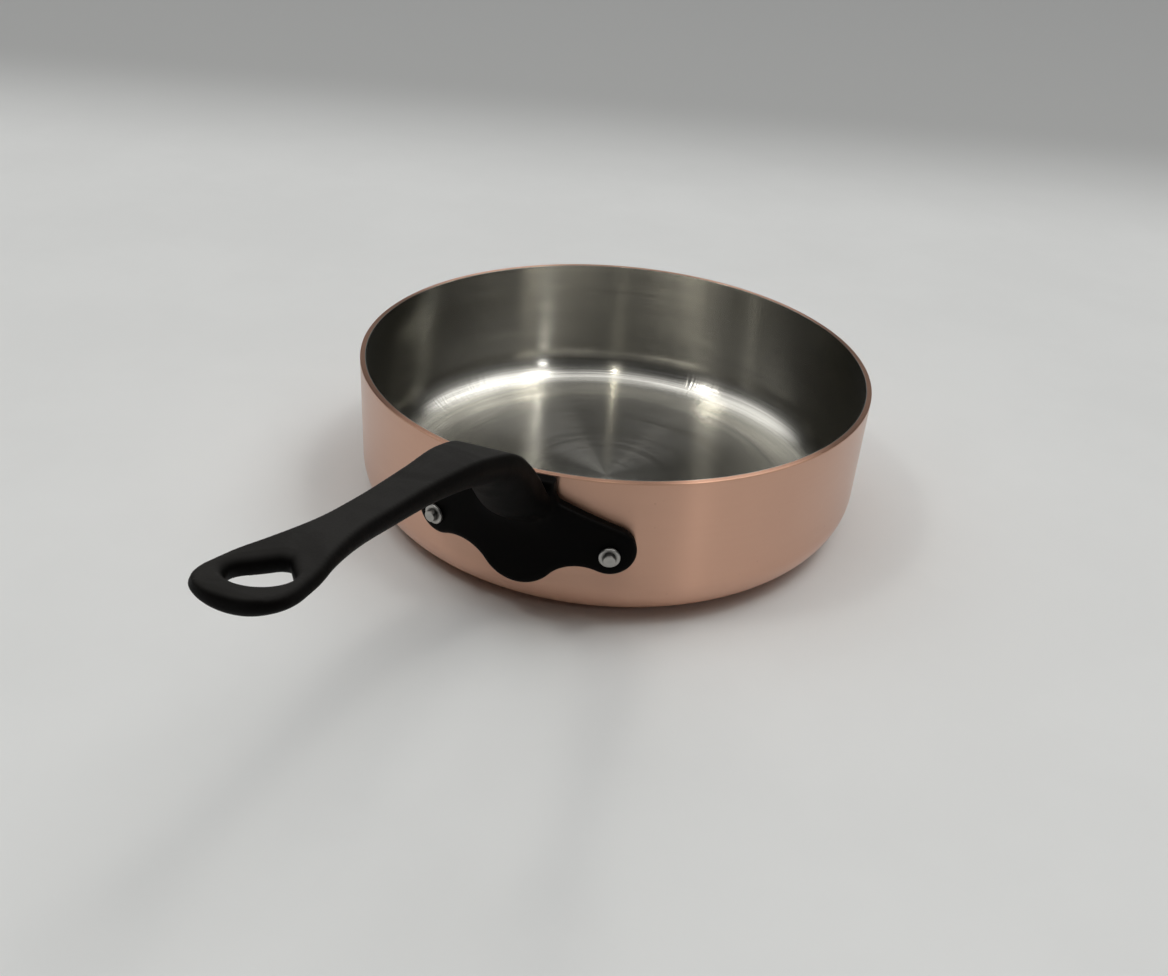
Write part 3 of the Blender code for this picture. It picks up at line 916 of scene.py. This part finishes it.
def rivet_profile(rivets):
    """From the axis inside the pan, over the low dome, the shank and the collar, to its end."""
    head = rivets.head_radius
    shank = rivets.shank_radius
    collar = rivets.collar_radius - COLLAR_EDGE
    seat = BRACKET_FACE + CLEARANCE
    collar_top = seat + COLLAR_HEIGHT
    end = collar_top + SHANK_END
    back = math.sqrt((INNER_RADIUS - CLEARANCE) ** 2 - head**2)
    side = back - HEAD_SIDE
    rise = HEAD_HEIGHT - HEAD_SIDE
    dome = []
    for i in range(1, CORNER_STEPS + 1):
        turn = QUARTER * i / CORNER_STEPS
        normal = Vector((math.sin(turn) * rise, -math.cos(turn) * head)).normalized()
        edge = 1.0 if i > CORNER_STEPS - HEAD_EDGE_STEPS else 0.0
        dome.append((head * math.sin(turn), side - rise * math.cos(turn), *normal, edge))
    return [
        (0, side - rise, 0, -1, 0),
        *dome,
        (head, back, 1, 0, 1.0),
        (head, back, 0, 1, 0),
        (shank, back, 0, 1, 0),
        (shank, back, 1, 0, 0),
        (shank, seat, 1, 0, 0),
        (shank, seat, 0, -1, 0),
        (collar, seat, 0, -1, 0),
        *round_edge((collar, seat + COLLAR_EDGE), COLLAR_EDGE, -1, 0),
        *round_edge((collar, collar_top - COLLAR_EDGE), COLLAR_EDGE, 0, 1, edge=1.0),
        *round_edge((shank + COLLAR_FOOT, collar_top + COLLAR_FOOT), COLLAR_FOOT, -1, -2, hollow=True),
        *round_edge((shank - SHANK_EDGE, end - SHANK_EDGE), SHANK_EDGE, 0, 1, edge=1.0),
        (0, end, 0, 1, 0),
    ]


def build_rivet(word, side, rivets, material):
    profile = rivet_profile(rivets)
    rivet = turned_piece(f"{word}_rivet", profile, RIVET_SEGMENTS)
    shade_turned(rivet, profile)
    rivet.matrix_world = RivetHole(side).matrix()
    finish_piece(rivet, material, "rivet_steel", f"rivet_{word}")


# Handle

def bracket_outline():
    """Right half of the flat bracket's outline, from its lowest point up to the rim."""
    lobe = Vector((0, PAN_HEIGHT - LOBE_DROP))
    wing = Vector((RIVET_ARC, RIVET_HEIGHT + WING_RISE))
    to_wing = wing - lobe
    span = to_wing.length
    reach = LOBE_RADIUS + WAIST_RADIUS
    along = (reach**2 - (WING_RADIUS + WAIST_RADIUS) ** 2 + span**2) / (2 * span)
    aside = math.sqrt(reach**2 - along**2)
    unit = to_wing / span
    waist = lobe + along * unit + aside * Vector((unit.y, -unit.x))
    normal = Vector((math.sin(WING_SLOPE), math.cos(WING_SLOPE)))
    hollow_x = NECK_HALF + NECK_FILLET
    hollow_z = wing.y + (WING_RADIUS + NECK_FILLET - (hollow_x - wing.x) * normal.x) / normal.y
    hollow = Vector((hollow_x, hollow_z))

    def toward(origin, target):
        return math.atan2(target.y - origin.y, target.x - origin.x)

    lobe_to_waist = toward(lobe, waist)
    waist_to_wing = toward(waist, wing)
    steps = OUTLINE_STEPS
    return [
        *arc(lobe, LOBE_RADIUS, -QUARTER, lobe_to_waist, steps),
        *arc(waist, WAIST_RADIUS, lobe_to_waist + math.pi, waist_to_wing, steps)[1:],
        *arc(wing, WING_RADIUS, waist_to_wing - math.pi, QUARTER - WING_SLOPE, steps)[1:],
        *arc(hollow, NECK_FILLET, -QUARTER - WING_SLOPE, -math.pi, steps),
        (NECK_HALF, PAN_HEIGHT),
    ]


def inset_outline(outline, width):
    """The closed outline moved inwards by each point's own width, with mitred corners."""
    first = outline - np.roll(outline, 1, axis=0)
    second = np.roll(outline, -1, axis=0) - outline
    first /= np.linalg.norm(first, axis=1, keepdims=True)
    second /= np.linalg.norm(second, axis=1, keepdims=True)
    normals = np.stack([-(first + second)[:, 1], (first + second)[:, 0]], axis=1)
    normals /= np.linalg.norm(normals, axis=1, keepdims=True)
    side = np.stack([-first[:, 1], first[:, 0]], axis=1)
    mitre = 1 / np.maximum(np.sum(normals * side, axis=1), MITRE_LIMIT)
    return outline + normals * (width * mitre)[:, None]


def bent(along, height, depth):
    """A point of the flat plate, bent round the wall."""
    angle = along / BEND_RADIUS
    radius = BEND_RADIUS + depth
    return (radius * math.sin(angle), -radius * math.cos(angle), height)


def bracket_plate(thickness):
    """The lobed plate: a wide rounding on its front edge, bent round the wall."""
    right = bracket_outline()
    outline = np.array(right + [(-x, z) for x, z in reversed(right[1:])])
    drop = ramp(PAN_HEIGHT - outline[:, 1], *NECK_ROUNDING_DROP)
    width = between(FRONT_ROUNDING, drop)
    deep = between(FRONT_ROUNDING_DEPTH, drop)
    even = np.ones(len(outline))
    turns = [QUARTER * i / ROUNDING_STEPS for i in range(ROUNDING_STEPS + 1)]
    levels = []
    for turn in turns:
        depth = BACK_ROUNDING * (1 - math.cos(turn)) - thickness / 2
        levels.append((BACK_ROUNDING * (1 - math.sin(turn)) * even, depth * even))
    for turn in turns:
        levels.append((width * (1 - math.cos(turn)), thickness / 2 - deep * (1 - math.sin(turn))))
    bm = bmesh.new()
    rings = []
    for inset, depths in levels:
        flat = inset_outline(outline, inset)
        rings.append([bm.verts.new((x, z, depth)) for (x, z), depth in zip(flat, depths)])
    count = len(outline)
    for low, high in zip(rings, rings[1:]):
        for k in range(count):
            n = (k + 1) % count
            bm.faces.new((low[k], low[n], high[n], high[k]))
    caps = [bm.faces.new(rings[0][::-1]), bm.faces.new(rings[-1])]
    bmesh.ops.triangulate(bm, faces=caps)
    strips = math.ceil(float(outline[:, 0].max()) / BEND_STRIP)
    for i in range(-strips, strips + 1):
        geometry = bm.verts[:] + bm.edges[:] + bm.faces[:]
        bmesh.ops.bisect_plane(bm, geom=geometry, plane_co=(i * BEND_STRIP, 0, 0), plane_no=(1, 0, 0))
    for vertex in bm.verts:
        vertex.co = bent(*vertex.co)
    bmesh.ops.triangulate(bm, faces=bm.faces)
    bmesh.ops.recalc_face_normals(bm, faces=bm.faces)
    return object_from(bm, "bracket_plate")


def smooth_rows():
    """Rows read from a smooth curve through the given ones, spaced by the top face's length."""
    rows = np.array(HANDLE_ROWS) * MM
    steps = np.linalg.norm(np.diff(rows[:, :2], axis=0), axis=1)
    at = np.concatenate([[0], np.cumsum(steps)])
    slopes = np.gradient(rows, at, axis=0)
    found = []
    for i in range(len(rows) - 1):
        length = at[i + 1] - at[i]
        for k in range(ROWS_BETWEEN):
            t = k / ROWS_BETWEEN
            found.append(
                (2 * t**3 - 3 * t**2 + 1) * rows[i]
                + (t**3 - 2 * t**2 + t) * length * slopes[i]
                + (3 * t**2 - 2 * t**3) * rows[i + 1]
                + (t**3 - t**2) * length * slopes[i + 1]
            )
    return [*found, rows[-1]]


def grip_slope():
    """Rise of the top face near the grip's end."""
    before, last = HANDLE_ROWS[-2:]
    return (last[1] - before[1]) / (last[0] - before[0])


def end_rows(row):
    """The rows past the last one, round to the grip's far end."""
    top_out, top_up, under_out, under_up, flat, full = row
    rounding = min(END_ROUNDING, END_ROUNDING_SHARE * (top_up - under_up))
    found = []
    for i in range(1, END_STEPS + 1):
        turn = QUARTER * END_REACH * i / END_STEPS
        out = END_LENGTH * math.sin(turn) ** END_SQUARENESS
        narrowing = math.cos(turn) ** END_SQUARENESS
        inset = max(0.0, rounding - (END_LENGTH - out))
        drop = rounding - math.sqrt(rounding**2 - inset**2)
        rise = grip_slope() * out
        found.append((top_out + out, top_up + rise - drop, under_out + out, under_up + rise + drop,
                      flat * narrowing, full * narrowing))
    return found


def section(row):
    """One closed ring of the handle: flat top, rounded crease, swelling side, round underside."""
    top_out, top_up, under_out, under_up, flat, full = row
    top = Vector((0, -RIM_RADIUS - top_out, PAN_HEIGHT + top_up))
    under = Vector((0, -RIM_RADIUS - under_out, PAN_HEIGHT + under_up))
    down = under - top
    thickness = down.length
    crease = min(CREASE, flat / 3)
    half = [((flat - crease) * i / TOP_STEPS, 0) for i in range(1, TOP_STEPS)]
    for i in range(CREASE_STEPS + 1):
        turn = QUARTER * i / CREASE_STEPS
        half.append((flat - crease * (1 - math.sin(turn)), crease * (1 - math.cos(turn)) / thickness))
    start = crease / thickness
    for i in range(1, SIDE_STEPS + 1):
        share = i / SIDE_STEPS
        swell = math.sin(QUARTER * share) ** SIDE_POWER
        half.append((between((flat, full), swell), between((start, SIDE_DEPTH), share)))
    for i in range(1, UNDER_STEPS):
        turn = QUARTER * i / UNDER_STEPS
        half.append((full * math.cos(turn), between((SIDE_DEPTH, 1), math.sin(turn))))
    ring = [(0, 0), *half, (0, 1), *[(-x, share) for x, share in reversed(half)]]
    return [top + down * share + Vector((x, 0, 0)) for x, share in ring]


def loft(name, rings):
    """A closed object through rings of equally many points, with flat ends."""
    count = len(rings[0])
    bm = bmesh.new()
    lines = [[bm.verts.new(point) for point in ring] for ring in rings]
    for first, second in zip(lines, lines[1:]):
        for k in range(count):
            n = (k + 1) % count
            bm.faces.new((first[k], second[k], second[n], first[n]))
    bm.faces.new(lines[0])
    bm.faces.new(reversed(lines[-1]))
    bmesh.ops.recalc_face_normals(bm, faces=bm.faces)
    return object_from(bm, name)


def teardrop(tip_radius, end_radius, length):
    """The hole's outline: two circles, length apart along X, joined by their tangents."""
    lean = math.acos((tip_radius - end_radius) / length)
    steps = HOLE_STEPS // 2
    end = arc((length, 0), end_radius, -lean, lean, steps)
    tip = arc((0, 0), tip_radius, lean, 2 * math.pi - lean, steps)
    return end + tip


def hanging_hole():
    """The cutter for the hole: a spool, narrowest halfway down, so that both rims are rounded."""
    last_out, last_up, _, last_under, _, _ = HANDLE_ROWS[-1]
    half = (last_up - last_under) * MM / 2
    flare_height = half * HOLE_FLARE_SHARE
    levels = [-1 + 2 * i / (HOLE_LEVELS - 1) for i in range(HOLE_LEVELS)]
    rings = []
    for share in (-1, *levels, 1):
        level = math.sin(share * QUARTER)
        widening = HOLE_FLARE * (1 - math.sqrt(1 - HOLE_FLARE_REACH * level**2))
        height = level * flare_height
        if len(rings) in (0, HOLE_LEVELS + 1):
            height = share * (flare_height + half)
        outline = teardrop(HOLE_TIP_RADIUS + widening, HOLE_RADIUS + widening, HOLE_SPAN)
        rings.append([Vector((x, y, height)) for x, y in outline])
    cutter = loft("hanging_hole", rings)
    lean = math.atan(grip_slope())
    along = Vector((0, -math.cos(lean), math.sin(lean)))
    up = Vector((0, math.sin(lean), math.cos(lean)))
    drop = (last_out * MM - HOLE_TIP_OUT) * grip_slope() + half
    place = (0, -RIM_RADIUS - HOLE_TIP_OUT, PAN_HEIGHT + last_up * MM - drop)
    cutter.matrix_world = placement(along, up.cross(along), up, place)
    bpy.context.view_layer.update()
    return cutter


def arch_and_grip():
    rows = smooth_rows()
    rows += end_rows(rows[-1])
    arch = loft("arch_and_grip", [section(row) for row in rows])
    cut_or_join(arch, hanging_hole(), "DIFFERENCE")
    return arch


class Skin:
    """Points, quads and edges of the casting's surface, with the few sums that smoothing needs."""

    def __init__(self, mesh):
        self.points = np.empty(len(mesh.vertices) * 3)
        mesh.vertices.foreach_get("co", self.points)
        self.points = self.points.reshape(-1, 3)
        self.edges = np.empty(len(mesh.edges) * 2, np.int64)
        mesh.edges.foreach_get("vertices", self.edges)
        self.edges = self.edges.reshape(-1, 2)
        self.quads = np.array([tuple(polygon.vertices) for polygon in mesh.polygons])
        self.links = np.bincount(self.edges.ravel(), minlength=len(self.points))

    def around(self, values):
        """For each point, the mean of its neighbours' values."""
        total = np.empty_like(values)
        for axis in range(values.shape[1]):
            column = values[:, axis]
            total[:, axis] = np.bincount(self.edges[:, 0], column[self.edges[:, 1]], len(values))
            total[:, axis] += np.bincount(self.edges[:, 1], column[self.edges[:, 0]], len(values))
        return total / self.links[:, None]

    def normals(self):
        a, b, c, d = (self.points[self.quads[:, k]] for k in range(4))
        faces = np.cross(c - a, d - b)
        found = np.zeros_like(self.points)
        for axis in range(3):
            for k in range(4):
                found[:, axis] += np.bincount(self.quads[:, k], faces[:, axis], len(self.points))
        return found / np.maximum(np.linalg.norm(found, axis=1, keepdims=True), TINY_AREA)

    def hollows(self, normals):
        """How deep each point lies under the middle of its neighbours."""
        return np.sum((self.around(self.points) - self.points) * normals, axis=1)

    def relax(self, rounds):
        for _ in range(rounds):
            self.points += SKIN_STEP * (self.around(self.points) - self.points)

    def fill_hollows(self, rounds, weight):
        """Moves points of hollow places outwards, so that a fillet grows there."""
        for i in range(rounds):
            if i % NORMAL_ROUNDS == 0:
                normals = self.normals()
            rise = SKIN_STEP * np.maximum(self.hollows(normals), 0) * weight
            self.points += rise[:, None] * normals

    def settle(self, surface):
        """Moves points back onto the surface that was drawn."""
        for i in range(len(self.points)):
            self.points[i] = surface.find_nearest(Vector(self.points[i]))[0]

    def spread(self, share):
        """The values evened out with their neighbours'."""
        for _ in range(SPREAD_ROUNDS):
            share = 0.5 * share + 0.5 * self.around(share[:, None])[:, 0]
        return share

    def edge_values(self):
        """Where the surface bends outwards, so that use wears it."""
        first, second = self.points[self.edges[:, 0]], self.points[self.edges[:, 1]]
        spacing = np.mean(np.sum((first - second) ** 2, axis=1))
        curvature = -2 * self.hollows(self.normals()) / spacing
        return self.spread(ramp(curvature, *EDGE_CURVATURE))

    def painted_top_light_values(self):
        """Where the casting gets painted top light: the faces that look up, away from the wall."""
        out = np.hypot(self.points[:, 0], self.points[:, 1]) - BRACKET_FACE
        return self.spread(ramp(self.normals()[:, 2], *PAINTED_TOP_LIGHT_RISE) * ramp(out, 0, PAINTED_TOP_LIGHT_START))


def surface_of(obj):
    faces = [tuple(polygon.vertices) for polygon in obj.data.polygons]
    return BVHTree.FromPolygons([vertex.co for vertex in obj.data.vertices], faces)


def distance_to(obj, points):
    surface = surface_of(obj)
    return np.array([surface.find_nearest(Vector(point))[3] for point in points])


def cast_skin(arch, plate, voxel):
    """One even skin over the arch and the plate, with a fillet grown where they meet."""
    drawn = new_object("drawn", arch.data.copy())
    cut_or_join(drawn, new_object("drawn_plate", plate.data.copy()), "UNION")
    drawn_surface = surface_of(drawn)
    drop_object(drawn)

    bm = bmesh.new()
    bm.from_mesh(arch.data)
    bm.from_mesh(plate.data)
    lump = object_from(bm, "lump")
    remesh = lump.modifiers.new("skin", "REMESH")
    remesh.mode = "VOXEL"
    remesh.voxel_size = voxel
    mesh = evaluated_mesh(lump, "cast_handle")
    drop_object(lump)
    if not mesh.polygons:
        raise RuntimeError("the casting's skin is empty")

    skin = Skin(mesh)
    near = np.maximum(distance_to(arch, skin.points), distance_to(plate, skin.points))
    skin.relax(SKIN_RELAX)
    skin.settle(drawn_surface)
    skin.fill_hollows(HOLLOW_ROUNDS, ramp(near, *HOLLOW_REACH))
    skin.relax(SKIN_SOFTEN)
    mesh.vertices.foreach_set("co", skin.points.ravel().astype(np.float32))
    store_values(mesh, "edge", skin.edge_values())
    # painted top light on the faces that look up
    store_values(mesh, "painted_top_light", skin.painted_top_light_values())
    mesh.update()
    mesh.shade_smooth()
    return mesh


def build_handle(handle):
    arch = arch_and_grip()
    plate = bracket_plate(handle.bracket_thickness)
    casting = new_object("cast_handle", cast_skin(arch, plate, handle.skin_voxel))
    drop_object(arch)
    drop_object(plate)
    for side in SIDES.values():
        cut_or_join(casting, RivetHole(side).drill(), "DIFFERENCE")
    casting.data.shade_smooth()
    finish_piece(casting, blackened_iron(handle), "cast_iron", "handle")


# Stage

def build_floor(stage):
    bm = bmesh.new()
    bmesh.ops.create_grid(bm, x_segments=FLOOR_CELLS, y_segments=FLOOR_CELLS, size=FLOOR_HALF)
    floor = object_from(bm, "pale_floor")
    floor.data.materials.append(pale_sheet(stage))


def build_lamps():
    """Rectangular lamps that face the pan. Brightness is radiance, where a white sheet shows 1."""
    for name, azimuth, elevation, width, height, brightness, colour in STUDIO_LAMPS:
        light = bpy.data.lights.new(name, "AREA")
        light.shape = "RECTANGLE"
        light.size = 2 * LAMP_DISTANCE * math.tan(math.radians(width / 2))
        light.size_y = 2 * LAMP_DISTANCE * math.tan(math.radians(height / 2))
        light.color = colour
        light.energy = brightness * math.pi * light.size * light.size_y
        lamp = new_object(name, light)
        direction = heading(azimuth, elevation)
        lamp.location = direction * LAMP_DISTANCE
        lamp.rotation_euler = direction.to_track_quat("Z", "Y").to_euler()
        lamp.visible_camera = False


def build_world(stage):
    """A dim room with a pale wall behind the pan and soft panels of light above it."""
    world = bpy.data.worlds.new("studio")
    world.use_nodes = True
    bpy.context.scene.world = world
    tree = world.node_tree
    direction = Value(add_node(tree, "ShaderNodeTexCoord").outputs["Generated"])
    total = stage.dim_light
    for azimuth, elevation, core, reach, brightness in STUDIO_PANELS:
        facing = dot_with(direction, heading(azimuth, elevation))
        total += remap(facing, cosine(reach), cosine(core), 0.0, brightness, smooth=True)
    height = split(direction)[2]
    across = calc("SQRT", 1.0 - calc("POWER", height, 2.0))
    ahead = dot_with(direction, heading(BACK_AZIMUTH, 0)) / calc("MAXIMUM", across, 0.01)
    wall = remap(ahead, cosine(WALL_REACH), cosine(WALL_CORE), smooth=True)
    fall = remap(height, *WALL_FALL, stage.wall_light, stage.wall_light * WALL_TOP)
    fade = remap(height, WALL_FALL[1], WALL_END, 1.0, 0.0)
    fill(tree.nodes["Background"], Color=(1, 1, 1, 1), Strength=total + wall * (fall * fade))


def build_camera():
    camera = bpy.data.cameras.new("camera")
    camera.sensor_width = SENSOR_WIDTH
    camera.lens = FOCAL_PIXELS / IMAGE_WIDTH * SENSOR_WIDTH
    forward = Vector((
        math.sin(CAMERA_YAW) * math.cos(CAMERA_PITCH),
        math.cos(CAMERA_YAW) * math.cos(CAMERA_PITCH),
        -math.sin(CAMERA_PITCH),
    ))
    right = forward.cross(Vector((0, 0, 1))).normalized()
    up = right.cross(forward)
    rolled_right = math.cos(CAMERA_ROLL) * right + math.sin(CAMERA_ROLL) * up
    rolled_up = -math.sin(CAMERA_ROLL) * right + math.cos(CAMERA_ROLL) * up
    matrix = placement(rolled_right, rolled_up, -forward, CAMERA_PLACE)
    obj = new_object("camera", camera)
    obj.matrix_world = Matrix.Rotation(FIT_TURN, 4, "Z") @ matrix
    bpy.context.scene.camera = obj


class SAUTEPAN_OT_copper_body(bpy.types.Operator):
    """Turn the copper body and give it its satin finish"""

    bl_idname = "saute_pan.copper_body"
    bl_label = "Copper Body"

    def execute(self, context):
        build_copper_body(context.scene.saute_pan.body)
        return {"FINISHED"}


class SAUTEPAN_OT_lining(bpy.types.Operator):
    """Turn the steel lining and give it its brushed finish"""

    bl_idname = "saute_pan.lining"
    bl_label = "Steel Lining"

    def execute(self, context):
        build_lining(context.scene.saute_pan.body)
        return {"FINISHED"}


class SAUTEPAN_OT_handle(bpy.types.Operator):
    """Cast the bracket, arch and grip in one piece"""

    bl_idname = "saute_pan.handle"
    bl_label = "Cast Handle"

    def execute(self, context):
        build_handle(context.scene.saute_pan.handle)
        return {"FINISHED"}


class SAUTEPAN_OT_rivets(bpy.types.Operator):
    """Set the two rivets through the bracket and the wall"""

    bl_idname = "saute_pan.rivets"
    bl_label = "Rivets"

    def execute(self, context):
        rivets = context.scene.saute_pan.rivets
        material = turned_rivet_steel(rivets)
        for word, side in SIDES.items():
            build_rivet(word, side, rivets, material)
        return {"FINISHED"}


class SAUTEPAN_OT_stage(bpy.types.Operator):
    """Lay the floor, hang the lamps and place the camera"""

    bl_idname = "saute_pan.stage"
    bl_label = "Stage"

    def execute(self, context):
        stage = context.scene.saute_pan.stage
        context.scene.view_settings.view_transform = "Standard"
        build_floor(stage)
        build_lamps()
        build_world(stage)
        build_camera()
        return {"FINISHED"}


STEPS = (
    SAUTEPAN_OT_copper_body,
    SAUTEPAN_OT_lining,
    SAUTEPAN_OT_handle,
    SAUTEPAN_OT_rivets,
    SAUTEPAN_OT_stage,
)


class SAUTEPAN_PT_panel(bpy.types.Panel):
    """Lists the saute pan's settings and building steps"""

    bl_idname = "SAUTEPAN_PT_panel"
    bl_label = "Saute Pan"
    bl_space_type = "VIEW_3D"
    bl_region_type = "UI"
    bl_category = "Saute Pan"

    def draw(self, context):
        settings = context.scene.saute_pan
        for group in (settings.body, settings.handle, settings.rivets, settings.stage):
            box = self.layout.box()
            for name in group.bl_rna.properties.keys():
                if name not in ("rna_type", "name"):
                    box.prop(group, name)
        for step in STEPS:
            self.layout.operator(step.bl_idname)


CLASSES = (
    SautePanBodySettings,
    SautePanHandleSettings,
    SautePanRivetSettings,
    SautePanStageSettings,
    SautePanSettings,
    *STEPS,
    SAUTEPAN_PT_panel,
)


def register():
    for item in CLASSES:
        bpy.utils.register_class(item)
    bpy.types.Scene.saute_pan = bpy.props.PointerProperty(type=SautePanSettings)


def unregister():
    del bpy.types.Scene.saute_pan
    for item in reversed(CLASSES):
        bpy.utils.unregister_class(item)


def main():
    register()
    bpy.ops.saute_pan.copper_body()
    bpy.ops.saute_pan.lining()
    bpy.ops.saute_pan.handle()
    bpy.ops.saute_pan.rivets()
    bpy.ops.saute_pan.stage()
    bpy.context.view_layer.update()


if __name__ == "__main__":
    main()
